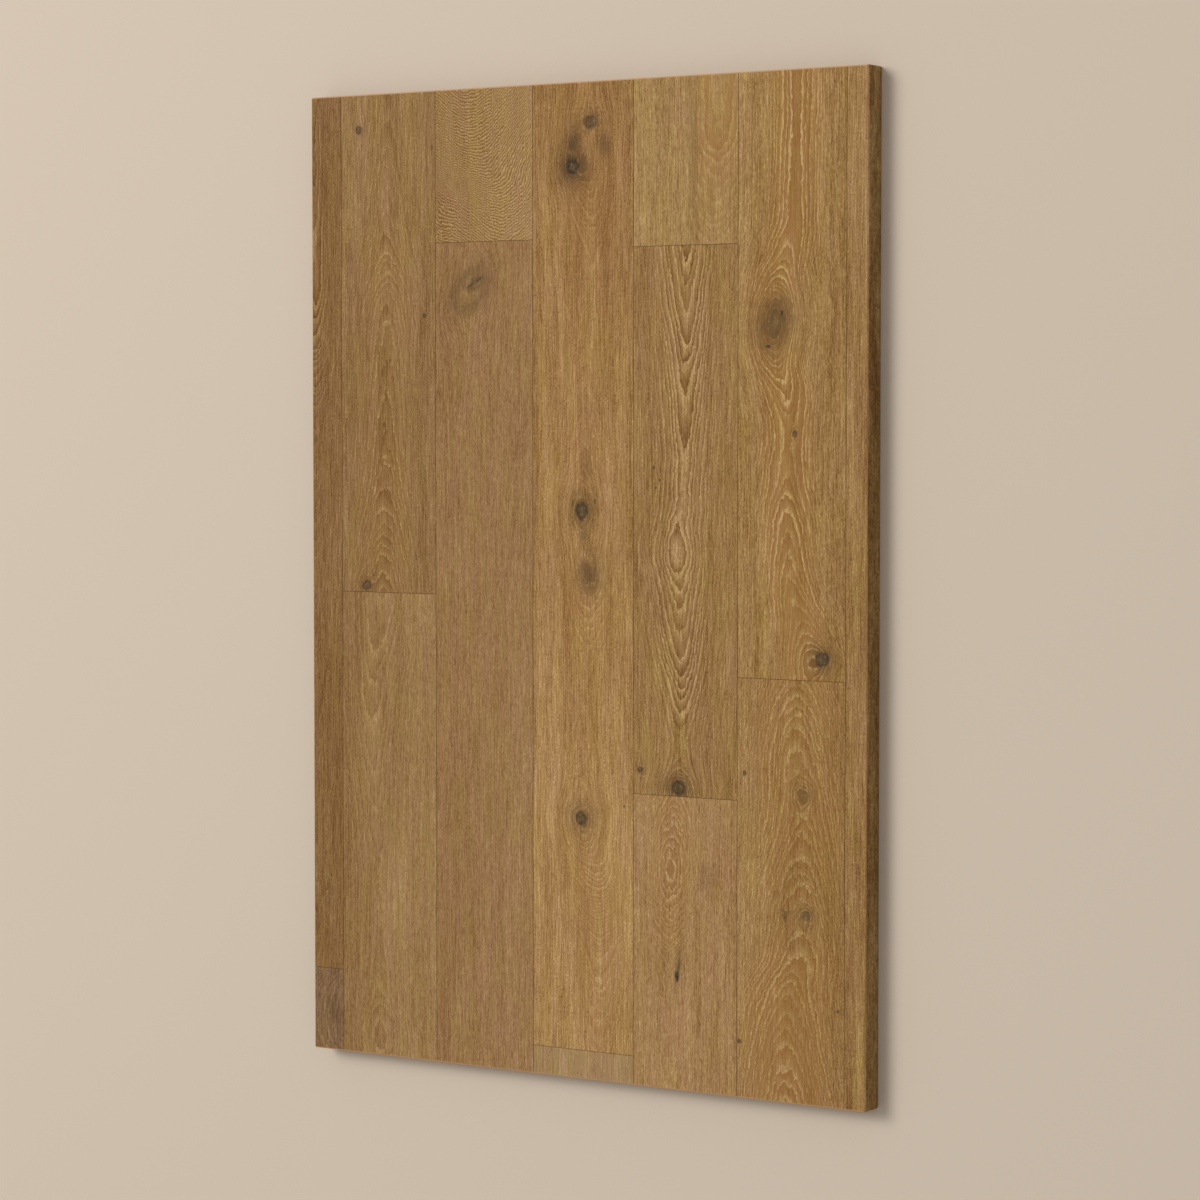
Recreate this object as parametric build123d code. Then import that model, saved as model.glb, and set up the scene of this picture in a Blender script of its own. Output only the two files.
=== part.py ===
"""Parquet floor panel of solid oak strips.

Random-length strips, tongued and grooved along their sides and across their ends, are laid in staggered
rows and glued. The glued-up panel is then trimmed square, which rips the two outer rows narrow and cuts the
end strips short, and its outer arrises are eased. Millimetres, +Z up. The panel lies on its back with the
face uppermost. The origin is at the middle of the back, +X runs across the rows and +Y along the grain.
"""

import os

from build123d import *

# Strip stock
STRIP_WIDTH = 110.0
THICKNESS = 23.0
FACE_BEVEL = 0.3

# Tongue, and the groove that takes it
TONGUE_LENGTH = 6.0
TONGUE_THICKNESS = 6.0
TONGUE_ABOVE_BACK = 7.0
TONGUE_NOSE = 1.2
GROOVE_PLAY = 0.15
GROOVE_TIP_GAP = 0.8
LOWER_LIP_SETBACK = 0.6

# Relief channels that are planed along the back of each strip
CHANNEL_COUNT = 3
CHANNEL_PITCH = 27.0
CHANNEL_WIDTH = 7.0
CHANNEL_ROOF_WIDTH = 5.0
CHANNEL_DEPTH = 3.0

# Trimmed panel
PANEL_LENGTH = 910.0
LEFT_ROW_WIDTH = 35.5
RIGHT_ROW_WIDTH = 21.5
ARRIS = 1.0
TRIM_ALLOWANCE = 15.0

# End joints, as distances from the foot of the panel
ROW1_JOINT = 78.5
ROW2_JOINT = 441.0
ROW3_JOINT = 768.5
ROW4_JOINT = 26.5
ROW5_LOWER_JOINT = 266.0
ROW5_UPPER_JOINT = 759.5
ROW6_JOINT = 375.5

# The end joints of each row, left to right
END_JOINTS = (
    (ROW1_JOINT,),
    (ROW2_JOINT,),
    (ROW3_JOINT,),
    (ROW4_JOINT,),
    (ROW5_LOWER_JOINT, ROW5_UPPER_JOINT),
    (ROW6_JOINT,),
    (),
)

FULL_ROWS = len(END_JOINTS) - 2
PANEL_WIDTH = LEFT_ROW_WIDTH + FULL_ROWS * STRIP_WIDTH + RIGHT_ROW_WIDTH
PANEL_LEFT = -PANEL_WIDTH / 2
PANEL_FOOT = -PANEL_LENGTH / 2

TONGUE_TOP = TONGUE_ABOVE_BACK + TONGUE_THICKNESS
GROOVE_BOTTOM = TONGUE_ABOVE_BACK - GROOVE_PLAY
GROOVE_TOP = TONGUE_TOP + GROOVE_PLAY
GROOVE_DEPTH = TONGUE_LENGTH + GROOVE_TIP_GAP


def tongue_outline(root):
    """Corners of a tongue that stands out from root, from its lower face round the nose to its upper one."""
    tip = root + TONGUE_LENGTH
    return [
        (root, TONGUE_ABOVE_BACK),
        (tip - TONGUE_NOSE, TONGUE_ABOVE_BACK),
        (tip, TONGUE_ABOVE_BACK + TONGUE_NOSE),
        (tip, TONGUE_TOP - TONGUE_NOSE),
        (tip - TONGUE_NOSE, TONGUE_TOP),
        (root, TONGUE_TOP),
    ]


def groove_outline(mouth):
    """Corners of a groove cut in from mouth, from its upper lip to the lower one, which is set back."""
    floor = mouth + GROOVE_DEPTH
    return [
        (mouth, GROOVE_TOP),
        (floor, GROOVE_TOP),
        (floor, GROOVE_BOTTOM),
        (mouth + LOWER_LIP_SETBACK, GROOVE_BOTTOM),
    ]


def channel_outlines():
    """Corners of the relief channels across the back, in order from the left, with sides that open downwards."""
    corners = []
    for i in range(CHANNEL_COUNT):
        middle = (i - (CHANNEL_COUNT - 1) / 2) * CHANNEL_PITCH
        mouth = CHANNEL_WIDTH / 2
        roof = CHANNEL_ROOF_WIDTH / 2
        corners += [
            (middle - mouth, 0),
            (middle - roof, CHANNEL_DEPTH),
            (middle + roof, CHANNEL_DEPTH),
            (middle + mouth, 0),
        ]
    return corners


def side_profile():
    """Section across a strip: channelled back, tongue on the right, bevelled face, groove on the left."""
    left, right = -STRIP_WIDTH / 2, STRIP_WIDTH / 2
    return [
        (left + LOWER_LIP_SETBACK, 0),
        *channel_outlines(),
        (right, 0),
        *tongue_outline(right),
        (right, THICKNESS - FACE_BEVEL),
        (right - FACE_BEVEL, THICKNESS),
        (left + FACE_BEVEL, THICKNESS),
        (left, THICKNESS - FACE_BEVEL),
        *groove_outline(left),
    ]


def end_profile(length):
    """Section along a strip: tongue at the head, bevelled face, groove at the foot."""
    foot, head = -length / 2, length / 2
    return [
        (foot + LOWER_LIP_SETBACK, 0),
        (head, 0),
        *tongue_outline(head),
        (head, THICKNESS - FACE_BEVEL),
        (head - FACE_BEVEL, THICKNESS),
        (foot + FACE_BEVEL, THICKNESS),
        (foot, THICKNESS - FACE_BEVEL),
        *groove_outline(foot),
    ]


def milled_strip(length):
    """One strip with its sides moulded and its ends matched, centred on its face and resting on its back."""
    span_y = length + 2 * TONGUE_LENGTH
    span_x = STRIP_WIDTH + 2 * TONGUE_LENGTH
    sides = extrude(Plane.XZ * make_face(Polyline(*side_profile(), close=True)), span_y / 2, both=True)
    ends = extrude(Plane.YZ * make_face(Polyline(*end_profile(length), close=True)), span_x / 2, both=True)
    strip = sides & ends
    corner = Box(TONGUE_LENGTH, TONGUE_LENGTH, THICKNESS, align=(Align.MIN, Align.MIN, Align.MIN))
    return strip - Pos(STRIP_WIDTH / 2, length / 2) * corner


def trimmed_outline():
    """The square-cut block that the panel is trimmed to, with all its arrises eased."""
    block = Box(PANEL_WIDTH, PANEL_LENGTH, THICKNESS, align=(Align.CENTER, Align.CENTER, Align.MIN))
    return chamfer(block.edges(), ARRIS)


def laid_strips():
    """Names each strip and gives where it lies: the middle of its row, and the span between its end joints."""
    first_row = PANEL_LEFT + LEFT_ROW_WIDTH - STRIP_WIDTH / 2
    for row, distances in enumerate(END_JOINTS):
        x = first_row + row * STRIP_WIDTH
        joints = [d for d in distances if 0 < d < PANEL_LENGTH]
        ends = [-TRIM_ALLOWANCE, *joints, PANEL_LENGTH + TRIM_ALLOWANCE]
        for n, (foot, head) in enumerate(zip(ends, ends[1:]), start=1):
            yield f"row{row + 1}_strip{n}", x, PANEL_FOOT + foot, PANEL_FOOT + head


def main():
    os.makedirs("parts", exist_ok=True)
    outline = trimmed_outline()
    for name, x, foot, head in laid_strips():
        strip = (Pos(x, (foot + head) / 2) * milled_strip(head - foot)) & outline
        export_step(strip, f"parts/{name}.step")
        size = strip.bounding_box().size
        print(f"{name}: {size.X:.1f} x {size.Y:.1f} x {size.Z:.1f} mm, {strip.volume / 1000:.1f} cm3")


main()
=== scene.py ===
# %% [markdown]
# # A parquet floor panel in oak
# The real panel is fourteen strips of solid oak, tongued and grooved, glued in staggered rows and trimmed
# square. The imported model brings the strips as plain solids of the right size. This lesson gives each strip
# the figure of its own piece of oak: growth rings, knots, pores and a brushed face.

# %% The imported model
from dataclasses import dataclass, field
from math import radians
from types import SimpleNamespace

import bmesh
import bpy
from mathutils import Matrix, Vector


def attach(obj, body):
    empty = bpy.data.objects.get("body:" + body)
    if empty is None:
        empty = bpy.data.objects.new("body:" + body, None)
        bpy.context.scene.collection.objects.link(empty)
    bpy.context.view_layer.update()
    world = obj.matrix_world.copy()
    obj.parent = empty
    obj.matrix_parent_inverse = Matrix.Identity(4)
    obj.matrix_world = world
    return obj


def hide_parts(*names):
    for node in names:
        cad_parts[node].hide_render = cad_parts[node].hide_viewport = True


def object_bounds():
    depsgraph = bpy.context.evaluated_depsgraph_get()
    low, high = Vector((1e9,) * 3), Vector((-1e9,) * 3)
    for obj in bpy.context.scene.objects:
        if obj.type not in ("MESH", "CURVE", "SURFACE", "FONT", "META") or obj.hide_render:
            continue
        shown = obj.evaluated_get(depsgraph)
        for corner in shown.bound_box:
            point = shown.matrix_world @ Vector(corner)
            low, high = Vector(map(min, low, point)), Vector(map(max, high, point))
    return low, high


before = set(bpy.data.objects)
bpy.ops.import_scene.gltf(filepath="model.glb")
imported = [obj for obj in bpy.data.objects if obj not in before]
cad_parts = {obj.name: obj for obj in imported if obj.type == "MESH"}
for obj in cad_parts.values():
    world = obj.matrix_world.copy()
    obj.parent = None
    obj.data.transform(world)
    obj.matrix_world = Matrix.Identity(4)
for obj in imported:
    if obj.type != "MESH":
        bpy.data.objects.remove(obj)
cad_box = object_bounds()
scene = bpy.context.scene
scene.view_settings.view_transform = "Standard"
MM = 0.001
FACE_Z = cad_box[1].z / MM
print(f"{len(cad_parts)} strips, face {FACE_Z:.1f} mm above the floor")

# %% [markdown]
# ## Writing node trees as arithmetic
# A wood is a rule that gives a colour to every point, and in Blender such a rule is a tree of nodes. Wiring
# nodes one at a time hides the rule, so a small class wraps a socket: adding or multiplying two of them adds
# the Math node. The same class works in shader trees and in geometry trees, so that one rule can give the
# strip both its colour and its relief.


# %% A value that varies through the wood
LEAST_SPAN = 1e-6  # keeps a level curve from being divided by nothing


class Field:
    """A socket of a node tree. Arithmetic on it adds Math nodes."""

    def __init__(self, tree, socket):
        self.tree = tree
        self.socket = socket

    def node(self, kind, settings, sockets, out=0):
        """Adds a node to the tree, sets it up, feeds its sockets and gives one of its outputs."""
        made = self.tree.nodes.new(kind)
        for name, value in settings.items():
            if name == "stops":
                set_stops(made.color_ramp, value)
            elif name == "points":
                set_points(made.mapping, value)
            else:
                setattr(made, name, value)
        for key, value in sockets.items():
            if isinstance(value, Field):
                self.tree.links.new(value.socket, made.inputs[key])
            else:
                made.inputs[key].default_value = value
        return Field(self.tree, made.outputs[out])

    def math(self, operation, *others):
        """A Math node on this value and any others."""
        terms = dict(enumerate((self, *others)))
        return self.node("ShaderNodeMath", {"operation": operation}, terms)

    def __add__(self, other):
        return self.math("ADD", other)

    __radd__ = __add__

    def __sub__(self, other):
        return self.math("SUBTRACT", other)

    def __rsub__(self, other):
        return self.node("ShaderNodeMath", {"operation": "SUBTRACT"}, {0: other, 1: self})

    def __mul__(self, other):
        return self.math("MULTIPLY", other)

    __rmul__ = __mul__

    def __truediv__(self, other):
        return self.math("DIVIDE", other)

    def stretched(self, x, y, z):
        """A vector field with its axes scaled apart."""
        return self.node("ShaderNodeVectorMath", {"operation": "MULTIPLY"}, {0: self, 1: (x, y, z)})

    def moved(self, x, y, z):
        return self.node("ShaderNodeVectorMath", {"operation": "ADD"}, {0: self, 1: (x, y, z)})

    def axes(self):
        """The three numbers of a vector field."""
        parts = self.tree.nodes.new("ShaderNodeSeparateXYZ")
        self.tree.links.new(self.socket, parts.inputs[0])
        return [Field(self.tree, out) for out in parts.outputs]

    def clouds(self, across, along, deep, detail=2.0, roughness=0.5):
        """Noise from about -0.5 to 0.5, in clouds of about these sizes along the three axes."""
        place = self.stretched(1 / across, 1 / along, 1 / deep)
        sockets = {"Vector": place, "Scale": 1.0, "Detail": detail, "Roughness": roughness}
        return self.node("ShaderNodeTexNoise", {"noise_dimensions": "3D"}, sockets) - 0.5

    def step(self, low, high, start=0.0, end=1.0):
        """Eases from start to end as this value goes from low to high."""
        settings = {"interpolation_type": "SMOOTHSTEP", "clamp": True}
        return self.node("ShaderNodeMapRange", settings, {0: self, 1: low, 2: high, 3: start, 4: end})

    def bell(self):
        """1 where this value is 0, easing to 0 away from there."""
        return (self * self * -1.0).math("EXPONENT")

    def ramp(self, stops):
        return self.node("ShaderNodeValToRGB", {"stops": stops}, {0: self})

    def curve(self, points):
        """Looks this value up on a smooth curve through (value, result) points, given in rising order."""
        low, high = points[0][0], points[-1][0]
        results = [result for _, result in points]
        base, span = min(results), max(max(results) - min(results), LEAST_SPAN)
        knees = [((at - low) / (high - low), (result - base) / span) for at, result in points]
        place = (self - low) / (high - low)
        return self.node("ShaderNodeFloatCurve", {"points": knees}, {1: place}) * span + base

    def mixed(self, share, other, how="MIX"):
        """This colour, with a share of another one laid over it."""
        settings = {"data_type": "RGBA", "blend_type": how}
        return self.node("ShaderNodeMix", settings, {0: share, 6: self, 7: other}, out=2)


def set_stops(ramp, stops):
    ramp.interpolation = "EASE"
    while len(ramp.elements) < len(stops):
        ramp.elements.new(1.0)
    for element, (place, colour) in zip(ramp.elements, stops):
        element.position = place
        element.color = colour


def set_points(mapping, points):
    curve = mapping.curves[0]
    while len(curve.points) < len(points):
        curve.points.new(1.0, 1.0)
    for point, place in zip(curve.points, points):
        point.location = place
    mapping.update()


def srgb(red, green, blue):
    """A colour as seen on a screen, 0 to 255, as the linear colour that shaders take."""
    def linear(c):
        c /= 255
        return c / 12.92 if c <= 0.04045 else ((c + 0.055) / 1.055) ** 2.4
    return (linear(red), linear(green), linear(blue), 1.0)


def grey(level):
    return (level, level, level, 1.0)


print("mid oak in linear light:", [round(c, 3) for c in srgb(150, 115, 73)[:3]])

# %% [markdown]
# ## What one strip of oak is
# A strip is sawn along the trunk, so its face cuts the growth rings at a slant and shows them as nested
# arches, the cathedral. Each strip is described by where its heart line runs under the face, and by how far
# the rings climb along it: where the climb rises the arches point up, where it falls they point down, and in
# a hollow of it they close into an eye. Knots bend the rings round themselves. All places are in millimetres
# in the panel's own frame.


# %% A strip and its knots
@dataclass
class Knot:
    """A knot, or a smear of brown wood where dark is 0."""
    x: float
    y: float
    wide: float  # half-width across the grain
    long: float  # half-length along it
    dark: float = 0.85  # how much of its dark heart shows, 0 to 1
    stain: float = 0.5  # how brown the wood about it is, 0 to 1
    halo: float = 1.5  # how far the stain spreads, in sizes of the knot
    hollow: float = 0.0  # where the stain is a ring, how large, in sizes of the knot
    lean: float = 0.0  # in degrees, to the left if positive
    pull: float = 0.0  # how far the ring distance dips at it, and whether the grain parts round it
    reach: float = 2.2  # how far that is felt, in sizes of the knot


@dataclass
class Strip:
    """The wood of one strip."""
    node: str
    tone: tuple  # colour of its middle tone, as seen on a screen
    ring: float  # mean width of a growth ring
    heart: list  # (y, x, climb) at places along the heart line
    depth: float = 12.0  # how deep the heart lies under the face
    spread: float = 24.0  # how far aside of the heart the figure shows
    bold: float = 0.6  # strength of the rings
    ripple: float = 1.0  # how wavy and jagged the rings are
    even: float = 0.0  # how alike the rings are, 0 to 1
    fine: float = 0.0  # how much thinner the light lines are, 0 to 1
    warm: float = 0.0  # how orange the wood over the heart is
    streaks: float = 1.0  # strength of the fibres
    patchy: float = 1.0  # strength of the slow changes of tone
    across: float = 0.0  # how much lighter the right side is than the left
    along: float = 0.0  # how much lighter the head is than the foot
    show: list = field(default_factory=list)  # (y, strength) of the figure at places along the strip
    knots: list = field(default_factory=list)


def speck(x, y, half_width, half_length):
    """A pin knot, too small to bend the grain."""
    return Knot(x, y, half_width, half_length, dark=0.75, stain=0.3, halo=1.3)


def smear(x, y, half_width, half_length, stain, lean=0.0):
    """Brown wood where a knot lies just under the face."""
    return Knot(x, y, half_width, half_length, dark=0.0, stain=stain, halo=1.0, lean=lean)


strips = []
print("a pin knot is", speck(0.0, 0.0, 1.0, 2.0))

# %% [markdown]
# ## Row 1, ripped narrow
# Brown wood from beside a heart that lies just past the cut edge, and a short greyer piece at the foot.

# %% Strips of row 1
strips += [
    Strip("row1_strip1", tone=(127, 97, 66), ring=4.6, spread=40, bold=0.35, ripple=1.4, patchy=0.6,
          heart=[(-455, -258, 4), (-425, -264, 0), (-376, -256, 22)],
          knots=[smear(-279, -418, 7.0, 15.0, 0.45, lean=20)]),
    Strip("row1_strip2", tone=(132, 98, 58), ring=2.8, depth=8, spread=11, bold=0.9, streaks=0.9, patchy=0.7,
          heart=[(-376, -301, 120), (150, -300, 41), (195, -300, 25), (230, -300, 12.5), (248, -299, 9.6),
                 (268, -299, 7), (318, -301, 4), (455, -301, 0)],
          show=[(-376, 0.1), (130, 0.1), (195, 0.8), (330, 1.0), (455, 0.6)],
          knots=[Knot(-286, -303, 3.0, 6.0, dark=0.0, stain=0.35, halo=2.0, pull=5.0)]),
]
print("row 1:", [strip.node for strip in strips[-2:]])

# %% [markdown]
# ## Row 2
# The upper strip has a tall cathedral of narrow arches, the lower one only a loose, faint one.

# %% Strips of row 2
strips += [
    Strip("row2_strip1", tone=(149, 116, 74), ring=4.0, depth=16, spread=34, bold=0.5, ripple=1.2, fine=0.6,
          streaks=0.8, across=0.17, along=-0.05,
          heart=[(-455, -224, 18), (-437, -224, 13), (-415, -224, 17), (-380, -226, 24), (-300, -226, 25),
                 (-200, -230, 20), (-130, -232, 12), (-66, -228, 6), (-14, -222, 0)],
          show=[(-455, 1.0), (-410, 0.7), (-350, 0.5), (-200, 0.8), (-14, 0.8)]),
    Strip("row2_strip2", tone=(141, 108, 67), ring=2.8, depth=18, spread=32, bold=0.8, ripple=1.4, warm=0.35,
          fine=0.7, streaks=0.95, across=-0.06, along=0.05,
          heart=[(-14, -218, 0), (9, -218, 4.5), (94, -217, 21), (250, -214, 35), (290, -213, 46),
                 (313, -213, 52), (455, -212, 72)],
          show=[(-14, 0.9), (94, 1.0), (140, 0.7), (190, 0.6), (250, 0.9), (300, 0.9), (340, 0.5),
                (455, 0.25)],
          knots=[Knot(-246.8, 421.6, 3.6, 4.2, dark=0.7, stain=0.4, pull=3.0),
                 Knot(-238.8, -7.6, 5.2, 4.8, dark=0.75, stain=0.5, halo=1.8, pull=5.0),
                 speck(-161.9, 401.9, 1.2, 2.2),
                 speck(-171.0, 246.2, 2.0, 2.2)]),
]
print("row 2:", [strip.node for strip in strips[-2:]])

# %% [markdown]
# ## Row 3
# The long strip is straight-grained, from the side of the trunk, with one leaning knot. The short one above
# was cut across a wavy stretch, and its rings ripple.

# %% Strips of row 3
strips += [
    Strip("row3_strip1", tone=(149, 114, 74), ring=2.4, depth=30, bold=0.3, streaks=0.8, patchy=0.5,
          across=0.07, along=-0.06,
          heart=[(-455, -262, 0), (0, -258, 4), (313, -250, 0)],
          knots=[Knot(-119.0, 268.5, 15.0, 23.0, dark=0.0, stain=0.42, halo=0.55, hollow=0.85, lean=-40,
                      pull=6.0, reach=1.3),
                 smear(-114.0, 300.0, 1.2, 14.0, 0.3),
                 Knot(-113.0, 274.5, 6.0, 11.0, dark=0.25, stain=0.4, lean=-50),
                 Knot(-112.5, 276.5, 1.5, 11.0, dark=0.7, stain=0.3, lean=-62)]),
    Strip("row3_strip2", tone=(148, 114, 71), ring=2.2, depth=34, spread=200, bold=1.1, ripple=1.9, even=1.0,
          streaks=0.5, patchy=0.4, across=0.17,
          heart=[(313, -84, 110), (350, -86, 82), (385, -108, 52), (420, -117, 26), (455, -118, 0)],
          knots=[Knot(-160, 325, 22, 38, dark=0.0, stain=0.0, pull=22.0, reach=1.0)]),
]
print("row 3:", [strip.node for strip in strips[-2:]])

# %% [markdown]
# ## Row 4
# The longest strip runs nearly the whole panel. It is golden, with a chain of knots down its middle and the
# grain bowing out and closing again at each of them.

# %% Strips of row 4
strips += [
    Strip("row4_strip1", tone=(159, 128, 89), ring=3.0, depth=30, bold=0.2, streaks=0.6,
          heart=[(-455, -110, 0), (-428, -110, 1)]),
    Strip("row4_strip2", tone=(159, 122, 75), ring=2.2, depth=20, spread=28, bold=0.5, ripple=1.2, fine=0.3,
          warm=0.4, streaks=1.1, patchy=1.3, along=-0.26,
          heart=[(-428, 24, 70), (-380, 26, 62), (-335, 26, 52), (-300, 24, 30), (-260, 20, 8), (-225, 10, 0),
                 (-190, 8, 6), (-150, 8, 14), (-95, 10, 20), (-40, 14, 12), (8, 14, 2), (66, 6, 0),
                 (126, 9, 6), (190, 10, 16), (240, 14, 18), (290, 18, 16), (400, 14, 0), (455, 12, 8)],
          show=[(-428, 0.6), (-350, 0.6), (-300, 0.9), (-235, 0.7), (-190, 0.2), (-80, 0.2), (-30, 0.8),
                (20, 0.6), (60, 0.2), (120, 0.5), (160, 0.1), (200, 0.5), (270, 0.3), (340, 0.9), (380, 0.6),
                (455, 0.1)],
          knots=[Knot(15.6, 418.6, 8.0, 6.8, dark=0.6, stain=0.5, halo=1.6, pull=5.0),
                 smear(30.0, 398.0, 6.5, 12.0, 0.6, lean=10),
                 Knot(-4.0, 378.7, 7.0, 7.4, dark=0.9, stain=1.0, halo=2.5, pull=8.0, reach=2.6),
                 smear(-3.0, 399.0, 9.0, 17.0, 0.8, lean=-10),
                 Knot(6.3, 66.0, 7.2, 8.2, dark=0.85, stain=0.75, halo=1.9, pull=7.0, reach=2.6),
                 smear(8.0, 46.0, 6.0, 11.0, 0.5),
                 smear(11.0, 108.0, 4.5, 20.0, 0.3),
                 smear(15.5, 8.6, 14.0, 19.0, 0.7),
                 Knot(5.1, -214.9, 6.2, 6.2, dark=0.8, stain=0.6, halo=2.3, pull=8.0, reach=3.0),
                 speck(-3.6, 73.3, 1.0, 3.0),
                 speck(20.2, 74.8, 1.0, 2.4),
                 speck(52.1, -201.2, 1.0, 1.2)]),
]
print("row 4:", [strip.node for strip in strips[-2:]])

# %% [markdown]
# ## Row 5
# Three strips. The middle one has the boldest figure of the panel: arches that point down, a closed eye, and
# a knot at its foot. The lower one has a ring of ellipses and a drying crack.

# %% Strips of row 5
strips += [
    Strip("row5_strip1", tone=(161, 125, 82), ring=2.4, depth=13, spread=18, bold=0.75, ripple=1.7, fine=0.3,
          warm=0.4, streaks=0.9,
          heart=[(-455, 100, 40), (-380, 100, 32), (-345, 100, 27), (-315, 101, 16), (-290, 102, 6),
                 (-250, 103, 0), (-220, 104, 6), (-189, 106, 15)],
          show=[(-455, 0.25), (-360, 0.15), (-325, 0.5), (-290, 1.0), (-189, 1.0)],
          knots=[Knot(110.4, -344.0, 1.4, 10.0, dark=0.5, stain=0.45, halo=2.2, lean=-6),
                 Knot(109.0, -352.0, 2.0, 5.0, dark=0.95, stain=0.4, halo=1.6),
                 smear(160.0, -350.0, 0.9, 20.0, 0.5, lean=-4),
                 smear(141.0, -259.0, 9.0, 14.0, 0.22)]),
    Strip("row5_strip2", tone=(150, 115, 70), ring=3.7, depth=8, bold=1.1, ripple=1.5, streaks=0.95,
          heart=[(-189, 112, 48), (-150, 112, 56), (-116, 113, 51), (-60, 112, 37), (0, 110, 25),
                 (12, 109, 22.5), (32, 108, 19), (52, 109, 22.5), (70, 113, 24), (100, 115, 24.5),
                 (160, 117, 21), (250, 117, 8), (304, 117, 0)],
          show=[(-189, 0.8), (-140, 0.35), (-110, 0.9), (0, 1.0), (304, 1.0)],
          knots=[Knot(109.8, -181.0, 8.0, 6.0, dark=0.75, stain=0.8, halo=2.0, pull=16.0, reach=2.4),
                 Knot(69.3, -166.8, 3.2, 3.0, dark=0.7, stain=0.4, pull=2.0),
                 speck(83.5, 106.2, 1.2, 1.6),
                 speck(90.0, 95.0, 0.8, 1.2),
                 speck(86.0, 88.0, 0.8, 1.0)]),
    Strip("row5_strip3", tone=(160, 127, 80), ring=3.6, depth=28, bold=0.4, warm=0.8, streaks=0.95,
          heart=[(304, 148, 32), (352, 150, 14), (364, 150, 10), (378, 151, 6.6), (390, 151, 3),
                 (400, 152, 1), (455, 152, 0)],
          show=[(304, 0.25), (345, 0.35), (375, 0.8), (395, 1.0), (455, 0.9)],
          knots=[smear(125.0, 385.0, 5.0, 70.0, 0.25)]),
]
print("row 5:", [strip.node for strip in strips[-3:]])

# %% [markdown]
# ## Row 6
# Golden wood with an orange heart. The upper strip has the largest knot, ringed like a target, and a tall
# cathedral under it. The lower one is a restless figure round a pair of small knots.

# %% Strips of row 6
strips += [
    Strip("row6_strip1", tone=(152, 117, 71), ring=2.8, depth=26, spread=42, bold=0.9, ripple=1.4, warm=0.8,
          streaks=1.1, across=-0.21,
          heart=[(-455, 226, -48), (-380, 224, -34), (-330, 236, -24), (-306, 238, -20), (-275, 236, -14),
                 (-195, 238, 3), (-150, 233, 8), (-79, 232, 26)],
          show=[(-455, 1.0), (-330, 0.9), (-300, 0.4), (-260, 0.5), (-200, 0.8), (-150, 0.6), (-79, 0.6)],
          knots=[Knot(240.0, -181.0, 6.0, 7.0, dark=0.12, stain=0.4, halo=1.5, pull=9.0, reach=1.8),
                 Knot(243.0, -287.2, 4.6, 4.6, dark=0.35, stain=0.5, halo=1.8, pull=6.0),
                 Knot(222.0, -287.2, 2.6, 3.6, dark=0.25, stain=0.4, halo=1.8, pull=4.0),
                 speck(275.7, -369.0, 1.4, 1.6),
                 speck(174.5, -404.4, 2.2, 1.8),
                 speck(179.6, -164.3, 2.0, 2.2)]),
    Strip("row6_strip2", tone=(155, 120, 72), ring=3.4, bold=1.05, ripple=1.2, fine=0.3, warm=0.8, patchy=1.4,
          across=-0.08,
          heart=[(-79, 243, -30), (-40, 240, -25), (0, 228, -17), (60, 223, -9), (108, 222, 0), (140, 224, 2),
                 (172, 222, -2), (228, 209, 5), (300, 224, 4), (330, 230, 6.3), (455, 232, 6.6)],
          knots=[Knot(210.0, 234.0, 19.5, 25.0, dark=0.1, stain=0.66, halo=1.0, lean=-18, pull=34.0,
                      reach=1.5),
                 Knot(208.5, 234.0, 10.0, 15.0, dark=0.2, stain=0.3, halo=1.2, lean=-22),
                 speck(217.0, 242.5, 1.5, 2.6),
                 speck(203.0, 213.5, 2.4, 1.5),
                 speck(230.2, 136.5, 2.4, 3.0),
                 Knot(259.0, -60.7, 7.0, 7.0, dark=0.8, stain=0.8, halo=1.9, pull=16.0, reach=2.6)]),
]
print("row 6:", [strip.node for strip in strips[-2:]])

# %% [markdown]
# ## Row 7, ripped narrow
# Straight golden grain, cut well away from the heart.

# %% Strip of row 7
strips += [
    Strip("row7_strip1", tone=(151, 116, 70), ring=2.2, depth=30, bold=0.35, warm=0.3, streaks=1.05,
          patchy=1.3, along=0.06,
          heart=[(-455, 190, 0), (0, 186, 3), (455, 190, 0)]),
]
print("row 7:", [strip.node for strip in strips[-1:]])

# %% [markdown]
# ## The rule of the rings
# A growth ring is the set of points at one ring distance, which is the distance from the heart line with the
# climb added. Three noises keep it alive: a slow one that lets the whole grain wander, one that sways each
# arch, and a quick one that makes its edge jagged. Round a knot the distance is pulled down like a dimple, so
# that rings close about it.

# %% Distance from the heart


def nearness(p, knot, spread):
    """How far a point is from a knot's middle, in units of spread times the knot's own half-size."""
    turn = {"Vector": p, "Center": (knot.x, knot.y, 0.0), "Angle": radians(-knot.lean)}
    turned = p.node("ShaderNodeVectorRotate", {"rotation_type": "Z_AXIS"}, turn)
    local = turned.moved(-knot.x, -knot.y, 0.0)
    scaled = local.stretched(1 / (spread * knot.wide), 1 / (spread * knot.long), 0.0)
    return scaled.node("ShaderNodeVectorMath", {"operation": "LENGTH"}, {0: scaled}, out=1)


def closeness(p, knot, spread):
    """1 in the middle of a knot, easing to 0 well away from it."""
    return nearness(p, knot, spread).bell()


# Weights of the three noises, in millimetres
WANDER = 7.2
SWAY = 2.8
JAG = 2.0


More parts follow.
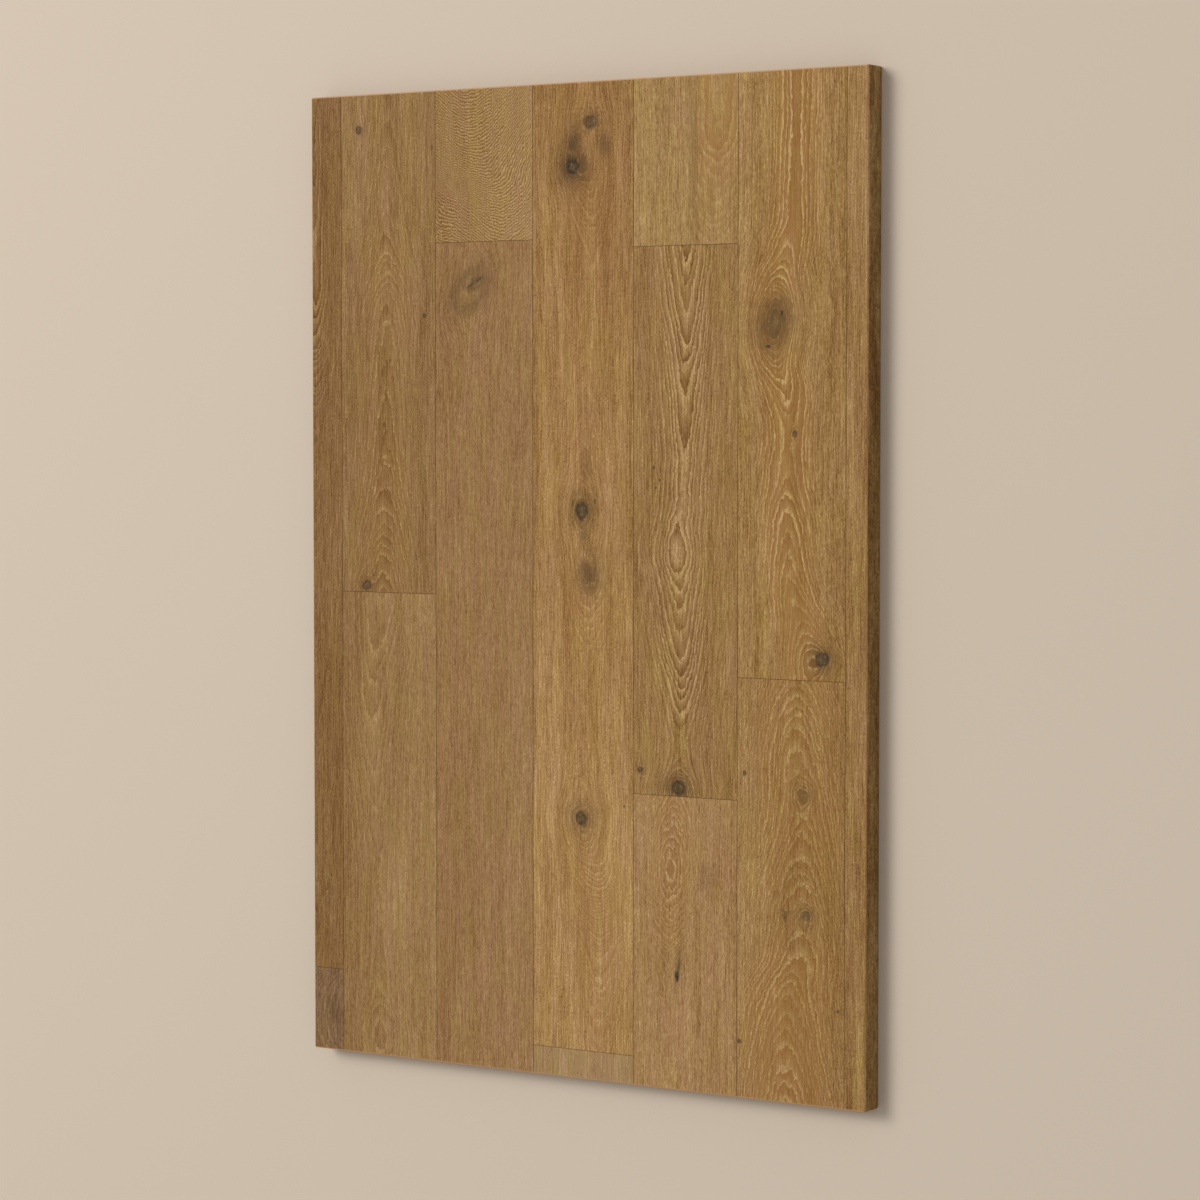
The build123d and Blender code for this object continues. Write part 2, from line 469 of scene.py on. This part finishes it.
def distance_to_heart(p, strip):
    """Ring distance at each point, and how far it is aside of the heart, both in millimetres."""
    x, y, z = p.axes()
    heart_x = y.curve([(at, x_here) for at, x_here, _ in strip.heart])
    climb = y.curve([(at, climb_here) for at, _, climb_here in strip.heart])
    aside = x - heart_x
    under = FACE_Z - z + strip.depth
    reach = (aside * aside + under * under).math("SQRT")
    wander = p.clouds(45, 170, 45, detail=1.0)
    sway = p.clouds(13, 34, 13, detail=1.0)
    jag = p.clouds(3.2, 7, 4, detail=1.5, roughness=0.7)
    distance = reach + climb + wander * WANDER + (sway * SWAY + jag * JAG) * strip.ripple
    for knot in strip.knots:
        if knot.pull:
            distance = distance - closeness(p, knot, knot.reach) * knot.pull
    return distance, aside.math("ABSOLUTE")


print("the grain wanders by about", WANDER / 2, "mm to each side")

# %% Rings, one after another
SPACING_PACE = 0.4  # how soon the spacing changes from ring to ring
SPACING_SWING = 1.2  # how far it may move a ring, in rings


def ring_phase(distance, strip):
    """How far through its ring a point is, 0 to 1, and the strength of that ring. No two rings are alike."""
    rings = distance / strip.ring
    slow = {"W": rings * SPACING_PACE, "Scale": 1.0, "Detail": 0.0}
    swing = rings.node("ShaderNodeTexNoise", {"noise_dimensions": "1D"}, slow)
    rings = rings + swing * (SPACING_SWING - strip.even)
    number = rings.math("FLOOR")
    strength = rings.node("ShaderNodeTexWhiteNoise", {"noise_dimensions": "1D"}, {"W": number})
    weakest = 0.35 + 0.4 * strip.even
    strongest = 1.0 - 0.1 * strip.even
    return rings.math("FRACT"), strength * (strongest - weakest) + weakest


print("rings", min(strip.ring for strip in strips), "to", max(strip.ring for strip in strips), "mm wide")

# %% [markdown]
# ## The colour of oak
# Each year's ring starts with wide open pores, which in this finish have caught a pale filler, and ends in
# dense brown wood. So each ring has a light line with a sharp outer edge and darkens towards the next one.
# The lines show best over the heart, where the saw met the rings at a slant; aside of it they crowd into
# fine streaks. A knot has a dark heart with cracks, in a stain of brown wood that the streaks part round.

# %% Grain that parts round the knots
PARTING_REACH = 1.3  # the grain parts a little further out than the rings bend
PARTING_SHARE = 0.7


def straightened(p, strip):
    """Each point's place with the grain pulled straight, so that streaks drawn on it part round knots."""
    x, y, z = p.axes()
    for knot in strip.knots:
        if knot.pull:
            x = x - (x - knot.x) * closeness(p, knot, PARTING_REACH * knot.reach) * PARTING_SHARE
    return p.node("ShaderNodeCombineXYZ", {}, {0: x, 1: y, 2: z})


print("the grain parts round", sum(knot.pull > 0 for strip in strips for knot in strip.knots), "knots")

# %% Stain and heart of the knots
RAGGED = 0.9  # how far noise moves a knot's outline, in sizes of the knot
HEART_EDGE = (1.2, 0.75)  # where the heart begins and where it is full, likewise
HEART_RIM = (0.35, 0.9)  # where its dark rim begins and where it is full
HEART_LIGHT = 0.55
HEART_MOTTLE = 1.5
RIM_DARK = 0.35


def knot_marks(p, strip):
    """Masks of the knots' stain and of their dark hearts, 0 to 1, and how light each spot of a heart is."""
    rough = p.clouds(7, 9, 7, detail=3.0, roughness=0.65)
    mottle = p.clouds(2.2, 3.0, 2.2)
    stain = heart = rim = rough * 0.0
    for knot in strip.knots:
        far = nearness(p, knot, 1.0) + rough * RAGGED
        off = (far - knot.hollow).math("ABSOLUTE") if knot.hollow else far.math("MAXIMUM", 0.0)
        stain = stain.math("MAXIMUM", (off / knot.halo).bell() * knot.stain)
        inside = far.step(*HEART_EDGE)
        heart = heart.math("MAXIMUM", inside * knot.dark)
        rim = rim.math("MAXIMUM", inside * far.step(*HEART_RIM))
    return stain, heart, HEART_LIGHT + mottle * HEART_MOTTLE - rim * RIM_DARK


print("knots:", sum(len(strip.knots) for strip in strips))

# %% The parts of the figure
LIGHT_LINE = ((0.0, 0.0), (0.05, 1.0), (0.24, 0.9), (0.42, 0.25), (0.6, 0.0))  # (place in a ring, level)
LATE_FROM = 0.5  # place in a ring where it begins to darken
STRIP_SHIFT = (431.0, 1270.0, 77.0)  # takes each strip from another part of the noise
PORE_SHIFT = (0.0, 0.0, 50.0)  # keeps the pores apart from the other fibres
PORE_EDGE = (0.1, 0.26)  # levels of noise where a pore begins and where it is full
LINE_LEVEL = 0.95
LINE_FLECKS = 0.8
LINE_DASHES = 0.6


def figure_of(p, strip, seed):
    """What makes up the figure at each point: ring lines, late wood, fibres, pores and changes of tone."""
    y = p.axes()[1]
    distance, aside = distance_to_heart(p, strip)
    phase, strength = ring_phase(distance, strip)
    grain = straightened(p, strip).moved(*(seed * shift for shift in STRIP_SHIFT))
    streak = grain.clouds(1.0, 48, 7, detail=0.0)
    dash = grain.clouds(0.8, 11, 3, detail=0.0)
    fleck = grain.clouds(0.75, 2.3, 2, detail=0.0)
    pore = grain.moved(*PORE_SHIFT).clouds(0.9, 7, 3, detail=0.0).step(*PORE_EDGE)
    broad = grain.clouds(13, 200, 13, roughness=0.55)
    thin = 1.0 - 0.5 * strip.fine
    light_line = [(thin * place, grey(level)) for place, level in LIGHT_LINE]
    broken = fleck * LINE_FLECKS + dash * LINE_DASHES + LINE_LEVEL
    line = phase.ramp(light_line) * strength * broken
    late = phase.step(LATE_FROM, 1.0) * strength
    over_heart = aside.step(1.5 * strip.spread, 0.5 * strip.spread)
    if strip.show:
        over_heart = over_heart * y.curve(strip.show)
    return SimpleNamespace(grain=grain, line=line, late=late, over_heart=over_heart, streak=streak, dash=dash,
                           fleck=fleck, pore=pore, broad=broad)


print("a light line takes up to", LIGHT_LINE[-1][0], "of its ring")

# %% Marks at the edges
ARRIS = 1.0
RIGHT_ARRIS_HIGHLIGHT = 0.25  # share of the painted highlight that is left on the right arris, which faces away from the lamp
SEAM_EDGE = (-0.2, 0.1)  # millimetres past the strip's flat face
SIDE_SKIN = (-0.3, -0.05)  # millimetres past the panel's outline, where the sides are darkened


def edge_marks(p, low, high):
    """Masks of a strip's seam bevels, of a painted highlight on the panel's arrises and of its darker sides.
    """
    x, y, z = p.axes()
    half_x, half_y = cad_box[1].x / MM, cad_box[1].y / MM
    past = (low.x / MM - x).math("MAXIMUM", x - high.x / MM)
    past = past.math("MAXIMUM", low.y / MM - y).math("MAXIMUM", y - high.y / MM)
    outside = (x.math("ABSOLUTE") - half_x).math("MAXIMUM", y.math("ABSOLUTE") - half_y)
    seam = past.step(*SEAM_EDGE) * outside.step(-ARRIS, -2 * ARRIS)
    arris = (outside + ARRIS + z - (FACE_Z - ARRIS)).step(0.75 * ARRIS, ARRIS)
    # painted highlight: full on the arrises that face the lamp, less on the right one, which is in shade
    lit_arrises = x.step(half_x - 1.5 * ARRIS, half_x - 3 * ARRIS)
    outer_sides = outside.step(*SIDE_SKIN)
    return seam, arris * (lit_arrises * (1.0 - RIGHT_ARRIS_HIGHLIGHT) + RIGHT_ARRIS_HIGHLIGHT), outer_sides


print("arrises eased by", ARRIS, "mm")

# %% Light and dark of the oak
MID_SHADE = 0.49
LINE_LIGHT = 0.5
LATE_DARK = 0.36
SHOWN_ASIDE = 0.25  # share of the rings that shows aside of the heart
STREAK_SHADE = 0.6
DASH_SHADE = 0.65
FLECK_SHADE = 0.7
PORE_SHADE = 0.12
FIBRES_LOST = 0.2  # share of the fibres that is lost over the heart
PATCH_SHADE = 0.6


def shade_of(p, wood, strip, low, high):
    """How light the wood is at each point, with 0.5 for the strip's middle tone."""
    rings = wood.line * LINE_LIGHT - wood.late * LATE_DARK
    rings = rings * (wood.over_heart * (1.0 - SHOWN_ASIDE) + SHOWN_ASIDE) * strip.bold
    fibres = wood.streak * STREAK_SHADE + wood.dash * DASH_SHADE + wood.fleck * FLECK_SHADE
    fibres = (fibres - wood.pore * PORE_SHADE) * (1.0 - wood.over_heart * FIBRES_LOST) * strip.streaks
    shade = MID_SHADE + rings + fibres + wood.broad * (PATCH_SHADE * strip.patchy)
    middle, span = (low + high) / 2 / MM, (high - low) / MM
    x, y, _ = p.axes()
    return shade + (x - middle.x) * (strip.across / span.x) + (y - middle.y) * (strip.along / span.y)


print("light lines weigh", LINE_LIGHT, "and late wood", LATE_DARK)

# %% Oak finish
# Shades, and what each adds to a strip's red, green and blue
TONES = (
    (0.0, (-41, -42, -38)),
    (0.25, (-18, -19, -18)),
    (0.5, (0, 0, 0)),
    (0.75, (16, 17, 15)),
    (1.0, (38, 40, 36)),
)
ROSE = (1.01, 0.98, 1.12, 1.0)
GOLD = (0.99, 1.02, 0.88, 1.0)
HUE_SHIFT = (0.0, 0.0, 90.0)
ORANGE_SHARE = 0.6
ORANGE_HEART = srgb(152, 107, 54)
KNOT_STAIN = srgb(88, 65, 38)
KNOT_TINTS = (
    (0.0, srgb(44, 36, 27)),
    (0.4, srgb(74, 59, 39)),
    (0.75, srgb(104, 86, 58)),
    (1.0, srgb(138, 118, 88)),
)
# a darker tone mixed into the panel's outer sides, all four alike
SIDE_DARKENING, DARKER_SIDES = 0.2, srgb(74, 64, 42)
SEAM_SHARE, SEAM_SHADOW = 0.5, srgb(86, 60, 35)
# a painted highlight laid along the panel's eased arrises, as if they caught the lamp
ARRIS_HIGHLIGHT_SHARE, PAINTED_ARRIS_HIGHLIGHT = 0.8, srgb(200, 156, 116)
OILED = 0.65
SHINE = 0.1
FIBRE_BUMP = 0.1 * MM


def oak(strip, seed, low, high):
    """The oiled oak of one strip, whose face lies between two corners."""
    material = bpy.data.materials.new(f"oak_{strip.node}")
    material.use_nodes = True
    tree = material.node_tree
    shader = tree.nodes["Principled BSDF"]
    place = Field(tree, tree.nodes.new("ShaderNodeTexCoord").outputs["Object"])
    p = place.stretched(1 / MM, 1 / MM, 1 / MM)
    wood = figure_of(p, strip, seed)

    red, green, blue = strip.tone
    tones = [(at, srgb(red + r, green + g, blue + b)) for at, (r, g, b) in TONES]
    colour = shade_of(p, wood, strip, low, high).ramp(tones)
    hue = wood.grain.moved(*HUE_SHIFT).clouds(14, 70, 14) + 0.5
    colour = colour.mixed(1.0, hue.ramp([(0.2, ROSE), (0.8, GOLD)]), how="MULTIPLY")
    if strip.warm:
        colour = colour.mixed(wood.over_heart * (1.0 - wood.line) * (ORANGE_SHARE * strip.warm), ORANGE_HEART)
    if strip.knots:
        stain, heart, light = knot_marks(p, strip)
        colour = colour.mixed(stain * (1.1 + wood.streak * 0.8 - wood.line * 0.4), KNOT_STAIN)
        colour = colour.mixed(heart, light.ramp(KNOT_TINTS))
    seam, arris, outer_sides = edge_marks(p, low, high)
    # darkens the panel's outer sides
    colour = colour.mixed(outer_sides * SIDE_DARKENING, DARKER_SIDES)
    colour = colour.mixed(seam * SEAM_SHARE, SEAM_SHADOW)
    # lays the painted highlight on the arrises
    colour = colour.mixed(arris * ARRIS_HIGHLIGHT_SHARE, PAINTED_ARRIS_HIGHLIGHT)
    tree.links.new(colour.socket, shader.inputs["Base Color"])

    rough = OILED + wood.streak * 0.15 + wood.line * 0.08
    tree.links.new(rough.socket, shader.inputs["Roughness"])
    height = wood.dash * 0.6 + wood.streak * 0.5
    bump = height.node("ShaderNodeBump", {}, {"Strength": 0.35, "Distance": FIBRE_BUMP, "Height": height})
    tree.links.new(bump.socket, shader.inputs["Normal"])
    shader.inputs["Specular IOR Level"].default_value = SHINE
    return material


print("each strip's oak has", len(TONES), "tones")

# %% [markdown]
# ## Brushing the face
# The real face was brushed along the grain, which wears the soft, porous early wood of each ring into a
# shallow groove, opens the cracks in the knots and leaves the hard late wood standing. A bump map would only
# pretend to do that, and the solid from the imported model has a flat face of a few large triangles. So each
# strip gets a copy whose face is a grid, fine across the grain and coarser along it, and a Geometry Nodes
# tree lowers the grid's points by the same rule of the rings that colours them. The grid shares its rim with
# the bevels, so the copy stays a closed solid, and points only go down, so it stays within the strip.

# %% A blank with a gridded face
CELL_ACROSS = 0.6
CELL_ALONG = 2.6
SAME_PLACE = 1e-6
LEVEL = 0.999  # least upward part of a level face's normal
NEAR_FACE = 0.1


def gridded_blank(node):
    """A closed mesh of a strip whose face is a grid of small cells, and the two far corners of that face."""
    blank = bmesh.new()
    blank.from_mesh(node.data)
    bmesh.ops.remove_doubles(blank, verts=blank.verts, dist=SAME_PLACE)
    least_z = (FACE_Z - NEAR_FACE) * MM
    face = [f for f in blank.faces if f.normal.z > LEVEL and f.calc_center_median().z > least_z]
    bmesh.ops.delete(blank, geom=face, context="FACES")
    rim = [edge for edge in blank.edges if edge.is_boundary]
    for edge in rim:
        edge.smooth = False
    corners = [corner.co for edge in rim for corner in edge.verts]
    low = Vector([min(axis) for axis in zip(*corners)])
    high = Vector([max(axis) for axis in zip(*corners)])
    columns = round((high.x - low.x) / (CELL_ACROSS * MM))
    rows = round((high.y - low.y) / (CELL_ALONG * MM))
    across = [edge for edge in rim if abs(edge.verts[0].co.y - edge.verts[1].co.y) < SAME_PLACE]
    along = [edge for edge in rim if edge not in across]
    bmesh.ops.subdivide_edges(blank, edges=across, cuts=columns - 1)
    bmesh.ops.subdivide_edges(blank, edges=along, cuts=rows - 1)
    fill_with_grid(blank, low, high, columns, rows)
    mesh = bpy.data.meshes.new(node.name + "_blank")
    blank.to_mesh(mesh)
    blank.free()
    return mesh, low, high


def fill_with_grid(blank, low, high, columns, rows):
    """Closes a rectangular opening whose rim is already divided with smooth cells."""
    wide, long = (high.x - low.x) / columns, (high.y - low.y) / rows
    spots = {}
    for edge in blank.edges:
        if edge.is_boundary:
            for spot in edge.verts:
                spots[round((spot.co.x - low.x) / wide), round((spot.co.y - low.y) / long)] = spot
    for i in range(columns + 1):
        for j in range(rows + 1):
            if (i, j) not in spots:
                spots[i, j] = blank.verts.new((low.x + i * wide, low.y + j * long, high.z))
    for i in range(columns):
        for j in range(rows):
            cell = blank.faces.new((spots[i, j], spots[i + 1, j], spots[i + 1, j + 1], spots[i, j + 1]))
            cell.smooth = True


print(f"cells {CELL_ACROSS} mm across the grain and {CELL_ALONG} mm along it")

# %% The brush
RIM_EASE = 1.2  # how far in from its rim the face is brushed in full
GROOVE = 0.14
PORE = 0.08
KNOT_DIP = 0.3
WORN_ASIDE = 0.3  # share of the grooves that is left aside of the heart
ON_FACE = 0.01


def brush_tree(strip, seed, low, high):
    """A tree that lowers the face of one strip along its ring lines, in its pores and at its knots."""
    tree = bpy.data.node_groups.new(f"brush_{strip.node}", "GeometryNodeTree")
    kinds = {"Blank": "Geometry", "Groove": "Float", "Pore": "Float", "Knot dip": "Float"}
    kinds["Finish"] = "Material"
    for name, kind in kinds.items():
        tree.interface.new_socket(name, in_out="INPUT", socket_type="NodeSocket" + kind)
    tree.interface.new_socket("Strip", in_out="OUTPUT", socket_type="NodeSocketGeometry")
    given = {out.name: Field(tree, out) for out in tree.nodes.new("NodeGroupInput").outputs}
    place = Field(tree, tree.nodes.new("GeometryNodeInputPosition").outputs[0])
    p = place.stretched(1 / MM, 1 / MM, 1 / MM)
    x, y, z = p.axes()
    left, foot, right, head = low.x / MM, low.y / MM, high.x / MM, high.y / MM
    inside = x.step(left, left + RIM_EASE) * x.step(right, right - RIM_EASE)
    inside = inside * y.step(foot, foot + RIM_EASE) * y.step(head, head - RIM_EASE)
    wood = figure_of(p, strip, seed)
    worn = wood.line * (wood.over_heart * (1.0 - WORN_ASIDE) + WORN_ASIDE)
    worn = worn * min(strip.bold, 1.0) * given["Groove"] + wood.pore * given["Pore"]
    if strip.knots:
        _, heart, light = knot_marks(p, strip)
        worn = worn + heart * (1.0 - light) * given["Knot dip"]
    down = p.node("ShaderNodeCombineXYZ", {}, {2: worn.math("MAXIMUM", 0.0) * inside * -MM})
    on_face = z.math("GREATER_THAN", FACE_Z - ON_FACE)
    lowering = {"Geometry": given["Blank"], "Selection": on_face, "Offset": down}
    lowered = p.node("GeometryNodeSetPosition", {}, lowering)
    whole = p.node("GeometryNodeRealizeInstances", {}, {"Geometry": lowered})
    dressed = p.node("GeometryNodeSetMaterial", {}, {"Geometry": whole, "Material": given["Finish"]})
    tree.links.new(dressed.socket, tree.nodes.new("NodeGroupOutput").inputs[0])
    return tree


print("ring grooves about", GROOVE, "mm deep")

# %% Brushed strips
blanks = [gridded_blank(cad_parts[strip.node]) for strip in strips]
finishes = [oak(strip, seed, *blanks[seed][1:]) for seed, strip in enumerate(strips)]


def brushed(strip, seed):
    """The strip as it is seen: its blank, brushed by its own tree, in its own finish."""
    mesh, low, high = blanks[seed]
    piece = bpy.data.objects.new(f"brushed_{strip.node}", mesh)
    scene.collection.objects.link(piece)
    brush = piece.modifiers.new("brush", "NODES")
    brush.node_group = brush_tree(strip, seed, low, high)
    inputs = {"Groove": GROOVE, "Pore": PORE, "Knot dip": KNOT_DIP, "Finish": finishes[seed]}
    for item in brush.node_group.interface.items_tree:
        if item.name in inputs:
            brush[item.identifier] = inputs[item.name]
    made = piece.evaluated_get(bpy.context.evaluated_depsgraph_get())
    piece.data = bpy.data.meshes.new_from_object(made)
    piece.modifiers.remove(brush)
    return piece


cells = 0
for seed, strip in enumerate(strips):
    piece = brushed(strip, seed)
    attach(piece, "root")
    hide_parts(strip.node)
    cells += len(piece.data.polygons)
print(len(strips), "brushed strips with", cells, "faces")

# %% [markdown]
# ## Floor, light and camera
# The panel lies on a pale floor under one large soft lamp and an even sky. The floor lies a hair under the
# back, because two faces in one plane render as stripes. It is clear from below and has an opening that the
# panel covers, so that the back can be looked at, too. The camera stands where the photograph's did, seen
# from the panel.

# %% Floor
FLOOR_HALF = 6.0
FLOOR_Z = -0.1 * MM
REACH_UNDER = 2.0 * MM
PALE = srgb(205, 191, 175)
open_x, open_y = cad_box[1].x - REACH_UNDER, cad_box[1].y - REACH_UNDER
signs = ((-1, -1), (1, -1), (1, 1), (-1, 1))
corners = [(across * FLOOR_HALF, along * FLOOR_HALF, FLOOR_Z) for across, along in signs]
corners += [(across * open_x, along * open_y, FLOOR_Z) for across, along in signs]
sides = [(i, (i + 1) % 4, (i + 1) % 4 + 4, i + 4) for i in range(4)]
floor_mesh = bpy.data.meshes.new("floor")
floor_mesh.from_pydata(corners, [], sides)
floor = bpy.data.objects.new("floor", floor_mesh)
scene.collection.objects.link(floor)
paper = bpy.data.materials.new("pale_floor")
paper.use_nodes = True
nodes = paper.node_tree.nodes
matt = nodes["Principled BSDF"]
matt.inputs["Base Color"].default_value = PALE
matt.inputs["Roughness"].default_value = 0.9
pale = Field(paper.node_tree, matt.outputs[0])
from_below = Field(paper.node_tree, nodes.new("ShaderNodeNewGeometry").outputs["Backfacing"])
clear = from_below.node("ShaderNodeBsdfTransparent", {}, {})
seen = from_below.node("ShaderNodeMixShader", {}, {0: from_below, 1: pale, 2: clear})
paper.node_tree.links.new(seen.socket, nodes["Material Output"].inputs["Surface"])
floor_mesh.materials.append(paper)
print("floor", 2 * FLOOR_HALF, "m square")

# %% Light
DAYLIGHT = (1.0, 0.98, 0.945)
SKY = 0.48
KEY_PLACE = Vector((-3.4, 2.4, 6.0))
KEY_SIZE = 3.6
KEY_WATTS = 350.0
world = bpy.data.worlds.new("studio")
world.use_nodes = True
sky = world.node_tree.nodes["Background"]
sky.inputs["Color"].default_value = (*DAYLIGHT, 1.0)
sky.inputs["Strength"].default_value = SKY
scene.world = world
key = bpy.data.lights.new("key", "AREA")
key.shape = "SQUARE"
key.size = KEY_SIZE
key.energy = KEY_WATTS
key.color = DAYLIGHT
lamp = bpy.data.objects.new("key", key)
lamp.location = KEY_PLACE
lamp.rotation_mode = "QUATERNION"
lamp.rotation_quaternion = (-KEY_PLACE).to_track_quat("-Z", "Y")
scene.collection.objects.link(lamp)
print("key lamp", KEY_WATTS, "W")

# %% Camera
CAMERA_PLACE = Vector((1.864, 0.151, 2.808))
CAMERA_AIM = Vector((0.0183, -0.0152, 0.0115))
LENS = 110.3
SENSOR = 36.0
back = (CAMERA_PLACE - CAMERA_AIM).normalized()
right = Vector((0, 1, 0)).cross(back).normalized()
up = back.cross(right)
optics = bpy.data.cameras.new("camera")
optics.lens = LENS
optics.sensor_width = SENSOR
camera = bpy.data.objects.new("camera", optics)
camera.matrix_world = Matrix.Translation(CAMERA_PLACE) @ Matrix((right, up, back)).transposed().to_4x4()
scene.collection.objects.link(camera)
scene.camera = camera
print("camera", round((CAMERA_PLACE - CAMERA_AIM).length, 3), "m away")
